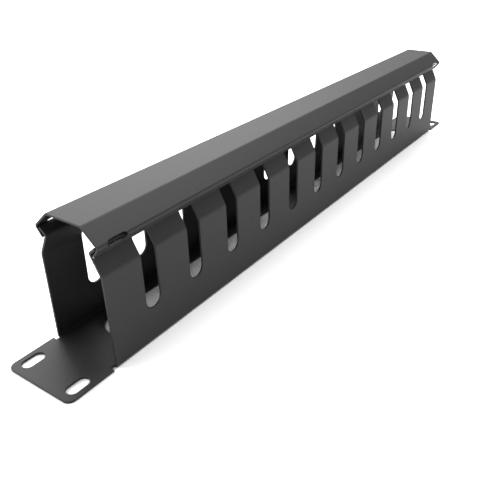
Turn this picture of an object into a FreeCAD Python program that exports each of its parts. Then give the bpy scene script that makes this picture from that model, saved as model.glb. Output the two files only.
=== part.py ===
"""Rack cable manager, one unit high: a comb-walled tray and a cover, each folded from one sheet.

X runs along the rack's width, Y across the trough and Z up from the face that meets the rack.
The origin is the middle of that face. Lengths are in millimetres, angles in degrees.
A section is a list of (y, z) points, which are the sharp corners of the sheet's outer face.
"""
import FreeCAD, Part

import math
import os

from FreeCAD import Vector

# Rack standard: ear to ear, one unit of height, and the gap between one unit's holes and the next's
EAR_SPAN = 482.6
RACK_UNIT_HEIGHT = 44.45
HOLE_PAIR_GAP = 12.7

# Ears
UNIT_MARGIN = 0.45
EAR_LENGTH = 29.7
EAR_CORNER_RADIUS = 4.0
EAR_SLOT_LENGTH = 12.4
EAR_SLOT_WIDTH = 6.4
EAR_SLOT_END_MARGIN = 4.1
BEND_RELIEF_WIDTH = 2.4

# Tray sheet and its folds
TRAY_SHEET = 1.2
TRAY_BEND_RADIUS = 0.6
WALL_SETBACK = 0.4
WALL_LEAN = 0.8
SHOULDER_HEIGHT = 50.3
NECK_INSET = 5.6
NECK_RISE = 10.7
HOOK_RISE_ANGLE = 40.0
HOOK_LENGTH = 4.6

# Comb slots, the same in both walls and open at the top
SLOT_COUNT = 12
FIRST_SLOT_INSET = 29.0
SLOT_WIDTH = 10.3
SLOT_FLOOR_HEIGHT = 19.2

# Long openings in the base, one on each side of a middle bridge
BRIDGE_LENGTH = 36.0
WINDOW_END_INSET = 16.6
WINDOW_SIDE_MARGIN = 9.8

# Cover sheet and its folds
COVER_SHEET = 1.0
COVER_BEND_RADIUS = 0.8
COVER_OVERHANG = 2.1
COVER_SHIFT = 2.0
COVER_SIDE_LENGTH = 13.28
COVER_SIDE_FALL_ANGLE = 41.6
COVER_LIP_LEAN_ANGLE = 36.7
HOOK_CLEARANCE = 0.4
HOOK_HEADROOM = 1.25
NECK_CLEARANCE = 0.63

# Release slots across the cover's side folds, one near each corner: wide at -Y and narrow at +Y,
# with their middles this far above the fold's sharp corner
RELEASE_SLOT_LENGTH = 12.4
RELEASE_SLOT_INSET = 12.2
WIDE_SLOT_HEIGHT = 3.85
WIDE_SLOT_RISE = -0.5
NARROW_SLOT_HEIGHT = 2.35
NARROW_SLOT_RISE = 0.75

# How far a cutting tool stands clear of what it cuts
TOOL_MARGIN = 5.0

# Sizes that follow from those above
EAR_WIDTH = RACK_UNIT_HEIGHT - UNIT_MARGIN
EAR_SLOT_RISE = RACK_UNIT_HEIGHT - HOLE_PAIR_GAP
EAR_SLOT_X = EAR_SPAN / 2 - EAR_SLOT_END_MARGIN - EAR_SLOT_LENGTH / 2
TROUGH_LENGTH = EAR_SPAN - 2 * EAR_LENGTH
TROUGH_WIDTH = EAR_WIDTH - 2 * WALL_SETBACK
SLOT_PITCH = (TROUGH_LENGTH - 2 * FIRST_SLOT_INSET) / (SLOT_COUNT - 1)
WINDOW_LENGTH = (TROUGH_LENGTH - BRIDGE_LENGTH) / 2 - WINDOW_END_INSET
WINDOW_WIDTH = TROUGH_WIDTH - 2 * WINDOW_SIDE_MARGIN
COVER_LENGTH = TROUGH_LENGTH + 2 * COVER_OVERHANG


def heading(angle):
    """Unit (y, z) direction at an angle above the +Y axis."""
    return math.cos(math.radians(angle)), math.sin(math.radians(angle))


def along(point, direction, distance):
    """The (y, z) point at a distance from another in a direction."""
    return point[0] + direction[0] * distance, point[1] + direction[1] * distance


def crossing(point_a, direction_a, point_b, direction_b):
    """Where two (y, z) lines meet, each given by a point and a direction."""
    span = direction_a[0] * direction_b[1] - direction_a[1] * direction_b[0]
    gap = (point_b[0] - point_a[0], point_b[1] - point_a[1])
    return along(point_a, direction_a, (gap[0] * direction_b[1] - gap[1] * direction_b[0]) / span)


def both_sides(half):
    """A whole section from its +Y half, which is given from the middle outwards."""
    return [(-y, z) for y, z in reversed(half)] + half


def in_space(point):
    """A (y, z) point as a point in space at X = 0."""
    return Vector(0, point[0], point[1])


def line(start, end):
    return Part.LineSegment(start, end).toShape()


def arc(start, middle, end):
    return Part.Arc(start, middle, end).toShape()


def hook_tip():
    """The outer corner of a finger's hook, then the hook's upper corner one thickness away."""
    neck_top = finger_corners()[-1]
    outer = along(neck_top, heading(HOOK_RISE_ANGLE), HOOK_LENGTH)
    return outer, along(outer, heading(HOOK_RISE_ANGLE + 90), TRAY_SHEET)


def finger_corners():
    """Outer corners of a +Y finger: wall foot, shoulder fold, and the fold under the hook."""
    foot = (TROUGH_WIDTH / 2, 0.0)
    shoulder = (foot[0] - WALL_LEAN, SHOULDER_HEIGHT)
    return [foot, shoulder, (shoulder[0] - NECK_INSET, shoulder[1] + NECK_RISE)]


def tray_section():
    """The tray from one hook's tip, down and round the base, to the other's."""
    return both_sides(finger_corners() + [hook_tip()[0]])


def cover_section():
    """The cover from one lip's end over the top to the other's, with its lips under the hooks."""
    hook_outer, hook_upper = hook_tip()
    _, shoulder, neck_top = finger_corners()
    side_fall = heading(-COVER_SIDE_FALL_ANGLE)
    side_face = along(hook_upper, heading(90 - COVER_SIDE_FALL_ANGLE), HOOK_HEADROOM + COVER_SHEET)
    lip_fall = heading(-90 - COVER_LIP_LEAN_ANGLE)
    lip_out = heading(-COVER_LIP_LEAN_ANGLE)
    lip_inner_face = along(hook_outer, lip_out, HOOK_CLEARANCE)
    side_fold = crossing(side_face, side_fall, along(lip_inner_face, lip_out, COVER_SHEET), lip_fall)
    crease = along(side_fold, side_fall, -COVER_SIDE_LENGTH)

    neck_angle = math.degrees(math.atan2(neck_top[1] - shoulder[1], neck_top[0] - shoulder[0]))
    neck_guard = along(neck_top, heading(neck_angle - 90), NECK_CLEARANCE)
    lip_inner_end = crossing(lip_inner_face, lip_fall, neck_guard, heading(neck_angle))
    return both_sides([crease, side_fold, along(lip_inner_end, lip_out, COVER_SHEET)])


def sheet_face(corners, bend_radius, sheet, inner):
    """Edges and end points of one face of a folded sheet, whose inner face is left of its section."""
    headings = []
    for start, end in zip(corners, corners[1:]):
        length = math.dist(start, end)
        headings.append(((end[0] - start[0]) / length, (end[1] - start[1]) / length))
    lefts = [(-z, y) for y, z in headings]
    depth = sheet if inner else 0.0

    here = along(corners[0], lefts[0], depth)
    ends = [here]
    edges = []
    for index, corner in enumerate(corners[1:-1]):
        before, after = headings[index], headings[index + 1]
        turn = math.atan2(before[0] * after[1] - before[1] * after[0],
                          before[0] * after[0] + before[1] * after[1])
        fold = crossing(along(corner, lefts[index], depth), before,
                        along(corner, lefts[index + 1], depth), after)
        radius = bend_radius if (turn > 0) == inner else bend_radius + sheet
        setback = radius * math.tan(abs(turn) / 2)
        bisector = (after[0] - before[0], after[1] - before[1])
        middle = along(fold, bisector, radius * (1 / math.cos(turn / 2) - 1) / math.hypot(*bisector))
        start, end = along(fold, before, -setback), along(fold, after, setback)
        edges.append(line(in_space(here), in_space(start)))
        edges.append(arc(in_space(start), in_space(middle), in_space(end)))
        here = end
    ends.append(along(corners[-1], lefts[-1], depth))
    edges.append(line(in_space(here), in_space(ends[1])))
    return edges, ends


def folded_sheet(corners, sheet, bend_radius, middle_x, length):
    """A sheet with the given section, drawn out along X."""
    outer_edges, outer_ends = sheet_face(corners, bend_radius, sheet, inner=False)
    inner_edges, inner_ends = sheet_face(corners, bend_radius, sheet, inner=True)
    cut_edges = [line(in_space(a), in_space(b)) for a, b in zip(outer_ends, inner_ends)]
    outline = Part.Wire(Part.__sortEdges__(outer_edges + inner_edges + cut_edges))
    blank = Part.Face(outline).extrude(Vector(length, 0, 0))
    blank.translate(Vector(middle_x - length / 2, 0, 0))
    return blank


def obround_prism(length, width, depth):
    """A slot-shaped prism: long in X, wide in Y, deep in Z, centred on the origin."""
    radius = width / 2
    reach = length / 2 - radius
    low = -depth / 2
    outline = Part.Wire([
        line(Vector(-reach, -radius, low), Vector(reach, -radius, low)),
        arc(Vector(reach, -radius, low), Vector(reach + radius, 0, low), Vector(reach, radius, low)),
        line(Vector(reach, radius, low), Vector(-reach, radius, low)),
        arc(Vector(-reach, radius, low), Vector(-reach - radius, 0, low), Vector(-reach, -radius, low)),
    ])
    return Part.Face(outline).extrude(Vector(0, 0, depth))


def ear(side):
    """One rack ear, from the trough's end outwards, with relief notches beside the wall folds."""
    root_x = TROUGH_LENGTH / 2
    edge_y = EAR_WIDTH / 2
    fold_y = TROUGH_WIDTH / 2 - TRAY_BEND_RADIUS - TRAY_SHEET
    plate = Part.makeBox(EAR_LENGTH, EAR_WIDTH, TRAY_SHEET, Vector(root_x, -edge_y, 0))
    tip_x = plate.BoundBox.XMax
    corner_edges = [edge for edge in plate.Edges
                    if math.isclose(edge.BoundBox.XMin, tip_x, abs_tol=1e-6)
                    and math.isclose(edge.BoundBox.YLength, 0, abs_tol=1e-6)]
    plate = plate.makeFillet(EAR_CORNER_RADIUS, corner_edges)
    cutters = [Part.makeBox(BEND_RELIEF_WIDTH, edge_y - fold_y, TRAY_SHEET, Vector(root_x, low_y, 0))
               for low_y in (-edge_y, fold_y)]
    for slot_y in (-EAR_SLOT_RISE / 2, EAR_SLOT_RISE / 2):
        slot = obround_prism(EAR_SLOT_LENGTH, EAR_SLOT_WIDTH, 2 * TOOL_MARGIN)
        slot.translate(Vector(EAR_SLOT_X, slot_y, 0))
        cutters.append(slot)
    plate = plate.cut(cutters)
    if side < 0:
        plate.rotate(Vector(0, 0, 0), Vector(0, 0, 1), 180)
    return plate


def comb_slots():
    """Cutters for the comb, each through both walls, round at the floor and open past the hooks."""
    top = hook_tip()[1][1] + SLOT_WIDTH / 2 + TOOL_MARGIN
    depth = TROUGH_WIDTH + 2 * TOOL_MARGIN
    cutters = []
    for index in range(SLOT_COUNT):
        cutter = obround_prism(top - SLOT_FLOOR_HEIGHT, SLOT_WIDTH, depth)
        cutter.rotate(Vector(0, 0, 0), Vector(0, 1, 0), 90)
        cutter.rotate(Vector(0, 0, 0), Vector(0, 0, 1), 90)
        slot_x = (index - (SLOT_COUNT - 1) / 2) * SLOT_PITCH
        cutter.translate(Vector(slot_x, 0, (top + SLOT_FLOOR_HEIGHT) / 2))
        cutters.append(cutter)
    return cutters


def base_windows():
    """Cutters for the two long round-ended openings in the base."""
    cutters = []
    for side in (-1, 1):
        cutter = obround_prism(WINDOW_LENGTH, WINDOW_WIDTH, 2 * TOOL_MARGIN)
        cutter.translate(Vector(side * (BRIDGE_LENGTH + WINDOW_LENGTH) / 2, 0, 0))
        cutters.append(cutter)
    return cutters


def slotted_tray():
    """The folded tray: base, ears, and two walls cut into fingers that end in hooks."""
    trough = folded_sheet(tray_section(), TRAY_SHEET, TRAY_BEND_RADIUS, 0, TROUGH_LENGTH)
    blank = trough.fuse([ear(-1), ear(1)]).removeSplitter()
    return blank.cut(comb_slots() + base_windows())


def release_slots():
    """Cutters for the slots that lie across the cover's side folds."""
    side_fold = cover_section()[-2]
    sides = ((-1, WIDE_SLOT_HEIGHT, WIDE_SLOT_RISE), (1, NARROW_SLOT_HEIGHT, NARROW_SLOT_RISE))
    cutters = []
    for side, height, rise in sides:
        for end in (-1, 1):
            cutter = obround_prism(RELEASE_SLOT_LENGTH, height, 2 * TOOL_MARGIN)
            cutter.rotate(Vector(0, 0, 0), Vector(1, 0, 0), 90)
            slot_x = COVER_SHIFT + end * (COVER_LENGTH / 2 - RELEASE_SLOT_INSET)
            cutter.translate(Vector(slot_x, side * side_fold[0], side_fold[1] + rise))
            cutters.append(cutter)
    return cutters


def snap_cover():
    """The folded cover, which rests a little off the trough's middle along X."""
    section = list(reversed(cover_section()))
    blank = folded_sheet(section, COVER_SHEET, COVER_BEND_RADIUS, COVER_SHIFT, COVER_LENGTH)
    return blank.cut(release_slots())


def main():
    os.makedirs("parts", exist_ok=True)
    for build in (slotted_tray, snap_cover):
        solids = build().Solids
        if len(solids) != 1 or not solids[0].isValid():
            raise ValueError(build.__name__ + " isn't one valid solid")
        solid, = solids
        box = solid.BoundBox
        print(build.__name__, "volume", round(solid.Volume, 1), "x", round(box.XMin, 2), round(box.XMax, 2),
              "y", round(box.YMin, 2), round(box.YMax, 2), "z", round(box.ZMin, 2), round(box.ZMax, 2))
        solid.exportStep(os.path.join("parts", build.__name__ + ".step"))


main()
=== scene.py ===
"""The finish of a rack cable manager: its folded tray and cover, on a pale floor.

Lengths are in metres and angles in degrees. X runs along the rack's width, Y across the trough and
Z up from the face that meets the rack. A section is a list of (y, z) points of a sheet's outer face.
"""
import math

import bpy
from mathutils import Euler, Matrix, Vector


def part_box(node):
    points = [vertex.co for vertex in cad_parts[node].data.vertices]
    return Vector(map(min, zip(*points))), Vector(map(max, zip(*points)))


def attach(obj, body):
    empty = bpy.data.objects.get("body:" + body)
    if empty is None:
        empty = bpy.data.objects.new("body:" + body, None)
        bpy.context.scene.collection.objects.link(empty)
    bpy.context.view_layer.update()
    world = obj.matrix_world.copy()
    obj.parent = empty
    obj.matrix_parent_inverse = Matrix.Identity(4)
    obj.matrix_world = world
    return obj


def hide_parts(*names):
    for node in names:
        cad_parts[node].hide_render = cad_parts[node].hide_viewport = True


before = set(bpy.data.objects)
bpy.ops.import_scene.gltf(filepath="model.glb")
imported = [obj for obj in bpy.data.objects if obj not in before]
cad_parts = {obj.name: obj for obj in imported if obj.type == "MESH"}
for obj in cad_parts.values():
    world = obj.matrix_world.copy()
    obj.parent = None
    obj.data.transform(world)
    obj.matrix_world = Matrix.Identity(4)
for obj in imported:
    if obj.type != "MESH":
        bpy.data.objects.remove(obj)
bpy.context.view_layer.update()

# ---- Slotted tray ----
# One sheet of 1.2 mm steel, cut flat with its comb slots, windows and rack ears, then folded: up at
# the wall feet, in at the shoulders and out at the hooks. Powder coated black after folding, which
# rounds every cut edge a little.

tray_low, tray_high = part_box("slotted_tray")
TRAY_SHEET = 0.0012
TRAY_BEND_RADIUS = 0.0006
TRAY_SHOULDER_RADIUS = 0.0048
TRAY_FOOT = (0.0216, 0.0)
TRAY_SHOULDER = (0.0208, 0.0503)
TRAY_NECK_TOP = (0.0152, 0.0610)
TRAY_HOOK_TIP = (0.018724, 0.063957)

EAR_LENGTH = 0.0297
EAR_CORNER_RADIUS = 0.004
EAR_SLOT_LENGTH = 0.0124
EAR_SLOT_WIDTH = 0.0064
EAR_SLOT_SPAN = 0.462
EAR_SLOT_RISE = 0.03175
RELIEF_WIDTH = 0.0024

COMB_COUNT = 12
COMB_END_INSET = 0.029
COMB_SLOT_WIDTH = 0.0103
COMB_FLOOR_HEIGHT = 0.0192

WINDOW_LENGTH = 0.177
WINDOW_WIDTH = 0.0236
WINDOW_SPAN = 0.213

FOLD_STEPS = 6
COATED_EDGE_RADIUS = 0.00015
COATED_EDGE_STEPS = 3
CUT_EDGE_ANGLE = 40

# Points this near are one point: where a blank's faces meet, and where a cut grazes a fold's step
TOUCHING = 1e-7
SLIVER = 3e-5

# How far past the trough's ends the folding still reaches, so that it takes in the end faces
END_MARGIN = 1e-5


def bend(before, corner, after):
    """The signed turn of a section at a corner, in radians: positive where it turns left."""
    inward = math.atan2(corner[1] - before[1], corner[0] - before[0])
    outward = math.atan2(after[1] - corner[1], after[0] - corner[0])
    return (outward - inward + math.pi) % math.tau - math.pi


def outer_radius(turn, inside_radius, sheet):
    """The outer face's radius at a fold: larger where the outer face is on the outside of it."""
    return inside_radius + sheet if turn > 0 else inside_radius


def developed_length(section, inside_radii, sheet):
    """The length of a section's outer face, with its folds rounded."""
    total = sum(math.dist(start, end) for start, end in zip(section, section[1:]))
    corners = zip(section, section[1:], section[2:])
    for (before, corner, after), inside_radius in zip(corners, inside_radii):
        turn = bend(before, corner, after)
        radius = outer_radius(turn, inside_radius, sheet)
        total += radius * (abs(turn) - 2 * math.tan(abs(turn) / 2))
    return total


def section_object(name, section, inside_radii, sheet):
    """A sheet's section as a chain of edges, each corner with its fold's radius."""
    mesh = bpy.data.meshes.new(name)
    chain = [(index, index + 1) for index in range(len(section) - 1)]
    mesh.from_pydata([(0.0, y, z) for y, z in section], chain, [])
    radii = mesh.attributes.new("fold_radius", "FLOAT", "POINT")
    corners = zip(section, section[1:], section[2:])
    for index, (points, inside_radius) in enumerate(zip(corners, inside_radii), start=1):
        radii.data[index].value = outer_radius(bend(*points), inside_radius, sheet)
    made = bpy.data.objects.new(name, mesh)
    bpy.context.scene.collection.objects.link(made)
    return made


def add(tree, kind, inputs=None, **settings):
    """Adds a node to a tree, makes its settings, and fills or links its input sockets."""
    made = tree.nodes.new(kind)
    for name, value in settings.items():
        setattr(made, name, value)
    for key, value in (inputs or {}).items():
        if isinstance(value, bpy.types.NodeSocket):
            tree.links.new(value, made.inputs[key])
        else:
            made.inputs[key].default_value = value
    return made


def new_tree(name, sizes):
    """A geometry tree with a geometry in and out, and an input of its kind for each named size."""
    tree = bpy.data.node_groups.new(name, "GeometryNodeTree")
    for size, kind in {"Geometry": "Geometry", **sizes}.items():
        tree.interface.new_socket(size, in_out="INPUT", socket_type="NodeSocket" + kind)
    tree.interface.new_socket("Geometry", in_out="OUTPUT", socket_type="NodeSocketGeometry")
    return tree, add(tree, "NodeGroupInput").outputs


def math_node(tree, operation, first, second=0.0):
    """The result of one sum on two numbers, each written or linked."""
    return add(tree, "ShaderNodeMath", {0: first, 1: second}, operation=operation).outputs[0]


def rounded_prism_tree():
    """A flat block with rounded upright corners; with its corner radius half its width, an obround."""
    sizes = {"Length": "Float", "Width": "Float", "Corner Radius": "Float", "Depth": "Float"}
    tree, given = new_tree("Rounded prism", sizes)
    sides = 32
    radius = math_node(tree, "DIVIDE", given["Corner Radius"], math.cos(math.pi / sides))
    disc = add(tree, "GeometryNodeMeshCylinder",
               {"Vertices": sides, "Radius": radius, "Depth": given["Depth"]}, fill_type="NGON")
    turned = add(tree, "GeometryNodeTransform",
                 {"Geometry": disc.outputs["Mesh"], "Rotation": (0, 0, math.pi / sides)})
    place = add(tree, "ShaderNodeSeparateXYZ", {0: add(tree, "GeometryNodeInputPosition").outputs[0]})
    shifts = []
    for axis, size in (("X", "Length"), ("Y", "Width")):
        reach = math_node(tree, "SUBTRACT", math_node(tree, "MULTIPLY", given[size], 0.5),
                          given["Corner Radius"])
        side = math_node(tree, "SIGN", place.outputs[axis])
        shifts.append(math_node(tree, "MULTIPLY", reach, side))
    shift = add(tree, "ShaderNodeCombineXYZ", {"X": shifts[0], "Y": shifts[1]})
    stretched = add(tree, "GeometryNodeSetPosition",
                    {"Geometry": turned.outputs[0], "Offset": shift.outputs[0]})
    add(tree, "NodeGroupOutput", {"Geometry": stretched.outputs[0]})
    return tree


def pattern_tree(prism):
    """Rounded prisms on a grid in the plane of the blank, centred on the origin."""
    prism_sizes = {"Length": "Float", "Width": "Float", "Corner Radius": "Float", "Depth": "Float"}
    grid_sizes = {"Columns": "Int", "Rows": "Int", "Column Span": "Float", "Row Span": "Float"}
    tree, given = new_tree("Prism pattern", {**prism_sizes, **grid_sizes})
    shape = add(tree, "GeometryNodeGroup", {size: given[size] for size in prism_sizes}, node_tree=prism)
    grid = add(tree, "GeometryNodeMeshGrid",
               {"Size X": given["Column Span"], "Size Y": given["Row Span"],
                "Vertices X": given["Columns"], "Vertices Y": given["Rows"]})
    placed = add(tree, "GeometryNodeInstanceOnPoints",
                 {"Points": grid.outputs["Mesh"], "Instance": shape.outputs[0]})
    real = add(tree, "GeometryNodeRealizeInstances", {"Geometry": placed.outputs[0]})
    add(tree, "NodeGroupOutput", {"Geometry": real.outputs[0]})
    return tree


def sheet_blank_tree():
    """The flat slab that a section unfolds to, with a row of points at each step of each fold."""
    sizes = {"Sheet": "Float", "Length": "Float", "Middle": "Float", "Fold Steps": "Int"}
    tree, given = new_tree("Sheet blank", sizes)
    tree.interface.new_socket("Fold Line", in_out="OUTPUT", socket_type="NodeSocketGeometry")
    chain = add(tree, "GeometryNodeMeshToCurve", {"Mesh": given["Geometry"]})
    radius = add(tree, "GeometryNodeInputNamedAttribute", {"Name": "fold_radius"}, data_type="FLOAT")
    fold_line = add(tree, "GeometryNodeFilletCurve",
                    {"Curve": chain.outputs[0], "Count": given["Fold Steps"],
                     "Radius": radius.outputs[0]}, mode="POLY").outputs[0]
    width = add(tree, "GeometryNodeCurveLength", {0: fold_line}).outputs[0]
    half_width = math_node(tree, "MULTIPLY", width, 0.5)
    half_length = math_node(tree, "MULTIPLY", given["Length"], 0.5)
    run = add(tree, "GeometryNodeSplineParameter").outputs["Length"]
    flat_place = add(tree, "ShaderNodeCombineXYZ",
                     {"X": math_node(tree, "SUBTRACT", given["Middle"], half_length),
                      "Y": math_node(tree, "SUBTRACT", run, half_width)})
    straight = add(tree, "GeometryNodeSetPosition",
                   {"Geometry": fold_line, "Position": flat_place.outputs[0]})
    rows = add(tree, "GeometryNodeCurveToMesh", {"Curve": straight.outputs[0]})
    across = add(tree, "ShaderNodeCombineXYZ", {"X": given["Length"]})
    face = add(tree, "GeometryNodeExtrudeMesh",
               {"Mesh": rows.outputs[0], "Offset": across.outputs[0], "Offset Scale": 1.0}, mode="EDGES")
    upwards = add(tree, "ShaderNodeCombineXYZ", {"Z": given["Sheet"]})
    thick = add(tree, "GeometryNodeExtrudeMesh",
                {"Mesh": face.outputs[0], "Offset": upwards.outputs[0], "Offset Scale": 1.0,
                 "Individual": False}, mode="FACES")
    underside = add(tree, "GeometryNodeFlipFaces", {"Mesh": face.outputs[0]})
    parts = add(tree, "GeometryNodeJoinGeometry")
    tree.links.new(underside.outputs[0], parts.inputs[0])
    tree.links.new(thick.outputs[0], parts.inputs[0])
    closed = add(tree, "GeometryNodeMergeByDistance",
                 {"Geometry": parts.outputs[0], "Distance": TOUCHING})
    add(tree, "NodeGroupOutput", {"Geometry": closed.outputs[0], "Fold Line": fold_line})
    return tree


def fold_tree():
    """Folds a cut blank along its fold line; what lies beyond the given half length stays flat."""
    sizes = {"Fold Line": "Geometry", "Middle": "Float", "Folded Half Length": "Float"}
    tree, given = new_tree("Fold", sizes)
    position = add(tree, "GeometryNodeInputPosition").outputs[0]
    place = add(tree, "ShaderNodeSeparateXYZ", {0: position})
    width = add(tree, "GeometryNodeCurveLength", {0: given["Fold Line"]}).outputs[0]
    run = math_node(tree, "ADD", place.outputs["Y"], math_node(tree, "MULTIPLY", width, 0.5))
    sample = add(tree, "GeometryNodeSampleCurve",
                 {"Curves": given["Fold Line"], "Length": run}, mode="LENGTH", use_all_curves=True)
    inwards = add(tree, "ShaderNodeVectorMath", {0: (1.0, 0.0, 0.0), 1: sample.outputs["Tangent"]},
                  operation="CROSS_PRODUCT")
    lifted = add(tree, "ShaderNodeVectorMath",
                 {0: inwards.outputs[0], "Scale": place.outputs["Z"]}, operation="SCALE")
    section = add(tree, "ShaderNodeVectorMath",
                  {0: sample.outputs["Position"], 1: lifted.outputs[0]}, operation="ADD")
    along_x = add(tree, "ShaderNodeCombineXYZ", {"X": place.outputs["X"]})
    folded = add(tree, "ShaderNodeVectorMath", {0: section.outputs[0], 1: along_x.outputs[0]},
                 operation="ADD")
    aside = math_node(tree, "SUBTRACT", place.outputs["X"], given["Middle"])
    from_middle = math_node(tree, "ABSOLUTE", aside)
    stays_flat = math_node(tree, "GREATER_THAN", from_middle, given["Folded Half Length"])
    is_folded = math_node(tree, "SUBTRACT", 1.0, stays_flat)
    moved = add(tree, "GeometryNodeSetPosition",
                {"Geometry": given["Geometry"], "Selection": is_folded, "Position": folded.outputs[0]})
    clean = add(tree, "GeometryNodeMergeByDistance", {"Geometry": moved.outputs[0], "Distance": SLIVER})
    smooth = add(tree, "GeometryNodeSetShadeSmooth", {"Geometry": clean.outputs[0]})
    add(tree, "NodeGroupOutput", {"Geometry": smooth.outputs[0]})
    return tree


def boolean(tree, operation, solid, others):
    """One mesh boolean; the first solid is what DIFFERENCE cuts from."""
    made = add(tree, "GeometryNodeMeshBoolean", operation=operation, solver="EXACT")
    tree.links.new(solid, made.inputs["Mesh 1" if operation == "DIFFERENCE" else "Mesh 2"])
    for other in others:
        tree.links.new(other, made.inputs["Mesh 2"])
    return made.outputs["Mesh"]


pattern = pattern_tree(rounded_prism_tree())
blank = sheet_blank_tree()
fold = fold_tree()


def punches(tree, length, width, corner_radius, depth, columns, rows, column_span, row_span):
    """A pattern of cutters or plates, with each size written or linked."""
    return add(tree, "GeometryNodeGroup",
               {"Length": length, "Width": width, "Corner Radius": corner_radius, "Depth": depth,
                "Columns": columns, "Rows": rows, "Column Span": column_span, "Row Span": row_span},
               node_tree=pattern).outputs[0]


tray_half = [TRAY_FOOT, TRAY_SHOULDER, TRAY_NECK_TOP, TRAY_HOOK_TIP]
tray_section = [(-y, z) for y, z in reversed(tray_half)] + tray_half
tray_half_radii = [TRAY_BEND_RADIUS, TRAY_SHOULDER_RADIUS, TRAY_BEND_RADIUS]
tray_radii = tray_half_radii[::-1] + tray_half_radii
tray_developed = developed_length(tray_section, tray_radii, TRAY_SHEET)
foot_turn = bend((0.0, 0.0), TRAY_FOOT, TRAY_SHOULDER)
foot_radius = outer_radius(foot_turn, TRAY_BEND_RADIUS, TRAY_SHEET)
foot_setback = foot_radius * math.tan(foot_turn / 2)

# How far the comb's slot floors lie from the tray's middle along the unfolded sheet
floor_run = TRAY_FOOT[0] - 2 * foot_setback + foot_radius * foot_turn + COMB_FLOOR_HEIGHT

trough_length = tray_high.x - tray_low.x - 2 * EAR_LENGTH
ear_width = tray_high.y - tray_low.y

# A cutter's height: well through a sheet that lies on the plane of the cutter's middle
cut_depth = 6 * TRAY_SHEET


def finish_tree(tree, geometry, material):
    """Ends a piece's tree: its geometry made real and given its material."""
    real = add(tree, "GeometryNodeRealizeInstances", {"Geometry": geometry})
    painted = add(tree, "GeometryNodeSetMaterial", {"Geometry": real.outputs[0], "Material": material})
    add(tree, "NodeGroupOutput", {"Geometry": painted.outputs[0]})


def slotted_tray_tree():
    """The tray: a slab with ears, less slots, windows and relief notches, then folded."""
    sizes = {"Sheet": "Float", "Trough Length": "Float", "Fold Steps": "Int",
             "Ear Length": "Float", "Ear Width": "Float", "Ear Corner Radius": "Float",
             "Comb Count": "Int", "Comb Span": "Float", "Comb Slot Width": "Float",
             "Comb Floor Run": "Float", "Window Length": "Float", "Window Width": "Float",
             "Window Span": "Float", "Material": "Material"}
    tree, given = new_tree("Slotted tray", sizes)
    flat = add(tree, "GeometryNodeGroup",
               {"Geometry": given["Geometry"], "Sheet": given["Sheet"],
                "Length": given["Trough Length"], "Fold Steps": given["Fold Steps"]}, node_tree=blank)

    # An ear reaches into the trough's end by its tongue, which is what the notches leave of it
    tongue = 0.003
    ear_plate_length = math_node(tree, "ADD", given["Ear Length"], tongue)
    ear_middle_span = math_node(tree, "ADD", given["Trough Length"],
                                math_node(tree, "SUBTRACT", given["Ear Length"], tongue))
    plates = punches(tree, ear_plate_length, given["Ear Width"], given["Ear Corner Radius"],
                     given["Sheet"], 2, 1, ear_middle_span, 0.0)

    # A notch's cutter overruns the sheet's free edges, and starts just inside the foot's fold
    overrun = 0.006
    inside_fold = 0.0003
    square_corner = 1e-5
    notch_root = TRAY_FOOT[0] - foot_setback - inside_fold
    notch_span = math_node(tree, "ADD", given["Trough Length"], RELIEF_WIDTH - overrun)
    notches = punches(tree, RELIEF_WIDTH + overrun, 2 * overrun, square_corner, cut_depth,
                      2, 2, notch_span, 2 * (notch_root + overrun))
    lift = add(tree, "ShaderNodeCombineXYZ", {"Z": math_node(tree, "MULTIPLY", given["Sheet"], 0.5)})
    raised = add(tree, "GeometryNodeTransform", {"Geometry": plates, "Translation": lift.outputs[0]})
    ears = boolean(tree, "DIFFERENCE", raised.outputs[0], [notches])
    joined = boolean(tree, "UNION", flat.outputs["Geometry"], [ears])

    # A comb slot's cutter is rounded at the slot's floor, and its far end lies past the hooks
    past_hooks = 0.004
    comb_end = tray_developed / 2 + past_hooks
    comb_run = math_node(tree, "SUBTRACT", comb_end, given["Comb Floor Run"])
    comb_row_span = math_node(tree, "ADD", comb_end, given["Comb Floor Run"])
    comb_radius = math_node(tree, "MULTIPLY", given["Comb Slot Width"], 0.5)
    combs = punches(tree, given["Comb Slot Width"], comb_run, comb_radius, cut_depth,
                    given["Comb Count"], 2, given["Comb Span"], comb_row_span)
    window_radius = math_node(tree, "MULTIPLY", given["Window Width"], 0.5)
    windows = punches(tree, given["Window Length"], given["Window Width"], window_radius, cut_depth,
                      2, 1, given["Window Span"], 0.0)
    ear_slots = punches(tree, EAR_SLOT_LENGTH, EAR_SLOT_WIDTH, EAR_SLOT_WIDTH / 2, cut_depth,
                        2, 2, EAR_SLOT_SPAN, EAR_SLOT_RISE)
    cut = boolean(tree, "DIFFERENCE", joined, [combs, windows, ear_slots])
    half_length = math_node(tree, "MULTIPLY", given["Trough Length"], 0.5)
    folded = add(tree, "GeometryNodeGroup",
                 {"Geometry": cut, "Fold Line": flat.outputs["Fold Line"],
                  "Folded Half Length": math_node(tree, "ADD", half_length, END_MARGIN)},
                 node_tree=fold)
    finish_tree(tree, folded.outputs[0], given["Material"])
    return tree


def run_tree(shape, tree, values):
    """Runs a tree on an object with the given values for its named inputs."""
    modifier = shape.modifiers.new(tree.name, "NODES")
    modifier.node_group = tree
    identifiers = {item.name: item.identifier for item in tree.interface.items_tree
                   if item.in_out == "INPUT"}
    for name, value in values.items():
        modifier[identifiers[name]] = value


def coated_edges(shape, radius):
    """Rounds the cut edges as the coating does, and keeps the flats flat in the light."""
    rounding = shape.modifiers.new("Coated edges", "BEVEL")
    rounding.width = radius
    rounding.segments = COATED_EDGE_STEPS
    rounding.limit_method = "ANGLE"
    rounding.angle_limit = math.radians(CUT_EDGE_ANGLE)
    rounding.use_clamp_overlap = False
    shading = shape.modifiers.new("Flat faces", "WEIGHTED_NORMAL")
    shading.keep_sharp = False


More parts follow.
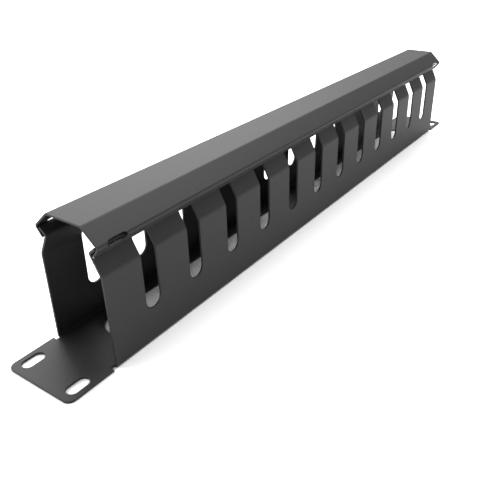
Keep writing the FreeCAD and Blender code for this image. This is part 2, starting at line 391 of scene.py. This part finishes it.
def plain_piece(name, shape):
    """The object that a shape's modifiers make, as a plain mesh; the shape itself is removed."""
    evaluated = shape.evaluated_get(bpy.context.evaluated_depsgraph_get())
    mesh = bpy.data.meshes.new_from_object(evaluated)
    mesh.name = name
    made = bpy.data.objects.new(name, mesh)
    bpy.context.scene.collection.objects.link(made)
    bpy.data.objects.remove(shape)
    return made


COAT_COLOUR = (0.031, 0.034, 0.031, 1)
PALE_METAL_COLOUR = (0.6, 0.6, 0.58, 1)
PEBBLES_PER_METRE = 1500.0
PEBBLE_HEIGHT = 0.0001
PEBBLE_STRENGTH = 0.12

# A small pale metal-grey spot on the cover's near lip, at the lower corner of its left end
PALE_SPOT_PLACE = (-0.2118, -0.0171, 0.0596)
PALE_SPOT_RADIUS = 0.0007
PALE_SPOT_RAGS_PER_METRE = 2500.0


def ragged_spot(tree, place, centre, radius):
    """1 inside a ragged spot of a given radius round a point, else 0."""
    away = add(tree, "ShaderNodeVectorMath", {0: place, 1: centre}, operation="DISTANCE")
    rag = add(tree, "ShaderNodeTexNoise",
              {"Vector": place, "Scale": PALE_SPOT_RAGS_PER_METRE, "Detail": 1.0})
    ragged = math_node(tree, "MULTIPLY", math_node(tree, "SUBTRACT", rag.outputs[0], 0.5), radius)
    return math_node(tree, "LESS_THAN", math_node(tree, "ADD", away.outputs["Value"], ragged), radius)


def powder_coat():
    """Black powder coat: dark satin, finely pebbled where the powder has melted, with a small pale
    metal-grey spot mixed in.
    """
    made = bpy.data.materials.new("black_powder_coat")
    made.use_nodes = True
    tree = made.node_tree
    tree.nodes.clear()
    place = add(tree, "ShaderNodeTexCoord").outputs["Object"]
    pebbles = add(tree, "ShaderNodeTexNoise",
                  {"Vector": place, "Scale": PEBBLES_PER_METRE, "Detail": 2.0, "Roughness": 0.5})
    bump = add(tree, "ShaderNodeBump",
               {"Strength": PEBBLE_STRENGTH, "Distance": PEBBLE_HEIGHT, "Height": pebbles.outputs[0]})
    black = add(tree, "ShaderNodeBsdfPrincipled",
                {"Base Color": COAT_COLOUR, "Roughness": 0.45,
                 "Specular IOR Level": 0.5, "Normal": bump.outputs[0]})
    pale_metal = add(tree, "ShaderNodeBsdfPrincipled",
                {"Base Color": PALE_METAL_COLOUR, "Metallic": 0.5, "Roughness": 0.5})
    # A small pale metal-grey spot mixed into the coat at the near lip's lower left corner
    pale_spot = ragged_spot(tree, place, PALE_SPOT_PLACE, PALE_SPOT_RADIUS)
    spotted = add(tree, "ShaderNodeMixShader", {0: pale_spot, 1: black.outputs[0], 2: pale_metal.outputs[0]})
    add(tree, "ShaderNodeOutputMaterial", {"Surface": spotted.outputs[0]})
    return made


coat = powder_coat()
tray_shape = section_object("tray_shape", tray_section, tray_radii, TRAY_SHEET)
run_tree(tray_shape, slotted_tray_tree(), {
    "Sheet": TRAY_SHEET, "Trough Length": trough_length, "Fold Steps": FOLD_STEPS,
    "Ear Length": EAR_LENGTH, "Ear Width": ear_width, "Ear Corner Radius": EAR_CORNER_RADIUS,
    "Comb Count": COMB_COUNT, "Comb Span": trough_length - 2 * COMB_END_INSET,
    "Comb Slot Width": COMB_SLOT_WIDTH, "Comb Floor Run": floor_run,
    "Window Length": WINDOW_LENGTH, "Window Width": WINDOW_WIDTH, "Window Span": WINDOW_SPAN,
    "Material": coat,
})
coated_edges(tray_shape, COATED_EDGE_RADIUS)
tray = plain_piece("tray_sheet", tray_shape)
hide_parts("slotted_tray")
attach(tray, "tray")

# ---- Cover ----
# One sheet of 1.0 mm steel with a flat top, two slanted sides and two lips that turn in under the
# finger hooks. Release slots are punched across both side folds near each end, wide ones along one
# side and narrow ones along the other. Coated as the tray is.

cover_low, cover_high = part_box("snap_cover")
COVER_SHEET = 0.001
COVER_BEND_RADIUS = 0.0008
COVER_CREASE = (0.0113, cover_high.z)
COVER_SIDE_FOLD = (0.02123, 0.06497)
COVER_LIP_END = (0.01717, cover_low.z)
RELEASE_SLOT_LENGTH = 0.0124
RELEASE_SLOT_INSET = 0.0122

# How wide each side's slots are along the unfolded sheet, and how far below the fold their middles lie
WIDE_SLOT_WIDTH = 0.00454
WIDE_SLOT_DROP = 0.00044
NARROW_SLOT_WIDTH = 0.0028
NARROW_SLOT_DROP = -0.00118

cover_half = [COVER_LIP_END, COVER_SIDE_FOLD, COVER_CREASE]
cover_section = cover_half + [(-y, z) for y, z in reversed(cover_half)]
cover_radii = [COVER_BEND_RADIUS] * (len(cover_section) - 2)
cover_developed = developed_length(cover_section, cover_radii, COVER_SHEET)
cover_length = cover_high.x - cover_low.x
cover_middle = (cover_high.x + cover_low.x) / 2


def snap_cover_tree():
    """The cover: a slab less its release slots, then folded."""
    sizes = {"Sheet": "Float", "Length": "Float", "Middle": "Float", "Fold Steps": "Int",
             "Release Slot Length": "Float", "Release Slot Inset": "Float",
             "Wide Slot Width": "Float", "Wide Slot Run": "Float",
             "Narrow Slot Width": "Float", "Narrow Slot Run": "Float", "Material": "Material"}
    tree, given = new_tree("Snap cover", sizes)
    flat = add(tree, "GeometryNodeGroup",
               {"Geometry": given["Geometry"], "Sheet": given["Sheet"], "Length": given["Length"],
                "Middle": given["Middle"], "Fold Steps": given["Fold Steps"]}, node_tree=blank)
    column_span = math_node(tree, "SUBTRACT", given["Length"],
                            math_node(tree, "MULTIPLY", given["Release Slot Inset"], 2.0))
    cutters = []
    for side in ("Wide Slot", "Narrow Slot"):
        width = given[side + " Width"]
        radius = math_node(tree, "MULTIPLY", width, 0.5)
        slots = punches(tree, given["Release Slot Length"], width, radius, cut_depth,
                        2, 1, column_span, 0.0)
        aside = add(tree, "ShaderNodeCombineXYZ", {"X": given["Middle"], "Y": given[side + " Run"]})
        placed = add(tree, "GeometryNodeTransform",
                     {"Geometry": slots, "Translation": aside.outputs[0]})
        cutters.append(placed.outputs[0])
    cut = boolean(tree, "DIFFERENCE", flat.outputs["Geometry"], cutters)
    folded = add(tree, "GeometryNodeGroup",
                 {"Geometry": cut, "Fold Line": flat.outputs["Fold Line"],
                  "Middle": given["Middle"], "Folded Half Length": given["Length"]}, node_tree=fold)
    finish_tree(tree, folded.outputs[0], given["Material"])
    return tree


side_turn = bend(COVER_LIP_END, COVER_SIDE_FOLD, COVER_CREASE)
side_radius = outer_radius(side_turn, COVER_BEND_RADIUS, COVER_SHEET)
side_arc = side_radius * side_turn
lip_straight = math.dist(COVER_LIP_END, COVER_SIDE_FOLD) - side_radius * math.tan(side_turn / 2)

# How far a side fold's middle lies from the cover's middle along the unfolded sheet
fold_run = cover_developed / 2 - lip_straight - side_arc / 2

cover_shape = section_object("cover_shape", cover_section, cover_radii, COVER_SHEET)
run_tree(cover_shape, snap_cover_tree(), {
    "Sheet": COVER_SHEET, "Length": cover_length, "Middle": cover_middle,
    "Fold Steps": FOLD_STEPS, "Release Slot Length": RELEASE_SLOT_LENGTH,
    "Release Slot Inset": RELEASE_SLOT_INSET,
    "Wide Slot Width": WIDE_SLOT_WIDTH, "Wide Slot Run": fold_run + WIDE_SLOT_DROP,
    "Narrow Slot Width": NARROW_SLOT_WIDTH, "Narrow Slot Run": -(fold_run + NARROW_SLOT_DROP),
    "Material": coat,
})
coated_edges(cover_shape, COATED_EDGE_RADIUS)
cover = plain_piece("cover_sheet", cover_shape)
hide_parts("snap_cover")
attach(cover, "cover")

# ---- Floor, light and camera ----
# A sheet of matt white paper under a plain pale sky, with four large soft lamps: three behind the tray
# and one to its right. The camera stands near the tray's left end and looks down along it.

FLOOR_SIZE = 60.0
PAPER_WHITE = (0.9, 0.9, 0.9, 1)
CAMERA_LIFT = 1.0
MIRRORED_LIFT = 0.1


def white_floor():
    """White matt paper that is lifted where the camera, or a shiny or clear surface, sees it.

    The camera's lift lightens the shadows, and the small mirrored one makes open floor just white.
    """
    made = bpy.data.materials.new("white_floor")
    made.use_nodes = True
    tree = made.node_tree
    tree.nodes.clear()
    ray = add(tree, "ShaderNodeLightPath").outputs
    sent_on = math_node(tree, "MAXIMUM", ray["Is Glossy Ray"], ray["Is Transmission Ray"])
    to_camera = math_node(tree, "MULTIPLY", ray["Is Camera Ray"], CAMERA_LIFT)
    lift = math_node(tree, "ADD", to_camera, math_node(tree, "MULTIPLY", sent_on, MIRRORED_LIFT))
    paper = add(tree, "ShaderNodeBsdfDiffuse", {"Color": PAPER_WHITE})
    lifted = add(tree, "ShaderNodeBsdfDiffuse", {"Color": lift})
    whole = add(tree, "ShaderNodeAddShader", {0: paper.outputs[0], 1: lifted.outputs[0]})
    add(tree, "ShaderNodeOutputMaterial", {"Surface": whole.outputs[0]})
    return made


bpy.ops.mesh.primitive_plane_add(size=FLOOR_SIZE)
floor = bpy.context.object
floor.name = "floor"
floor.data.materials.append(white_floor())

SKY_LEVEL = 0.3
LAMP_SPREAD = 45.0

sky = bpy.data.worlds.new("studio")
bpy.context.scene.world = sky
sky.use_nodes = True
backdrop = sky.node_tree.nodes["Background"]
backdrop.inputs["Color"].default_value = (1, 1, 1, 1)
backdrop.inputs["Strength"].default_value = SKY_LEVEL


def soft_lamp(name, level, height, bearing):
    """A distant soft lamp, at a height above the floor and a bearing from +X towards +Y.

    Its level is what it adds to a white surface that faces it.
    """
    data = bpy.data.lights.new(name, "SUN")
    data.energy = level * math.pi
    data.angle = math.radians(LAMP_SPREAD)
    made = bpy.data.objects.new(name, data)
    bpy.context.scene.collection.objects.link(made)
    made.rotation_euler = Euler((0, math.radians(90 - height), math.radians(bearing)))


soft_lamp("right lamp", 0.50, 55, 0)
soft_lamp("back right lamp", 0.35, 35, 45)
soft_lamp("back lamp", 0.26, 35, 90)
soft_lamp("back left lamp", 0.22, 22, 135)

camera_data = bpy.data.cameras.new("camera")
camera_data.sensor_width = 36.0
camera_data.lens = 42.398
camera_data.clip_start = 0.01
camera = bpy.data.objects.new("camera", camera_data)
bpy.context.scene.collection.objects.link(camera)
camera.location = (-0.35251, -0.19810, 0.18801)
camera.rotation_euler = Euler([math.radians(angle) for angle in (60.291, 0.573, -55.343)])
bpy.context.scene.camera = camera

bpy.context.scene.view_settings.view_transform = "Standard"
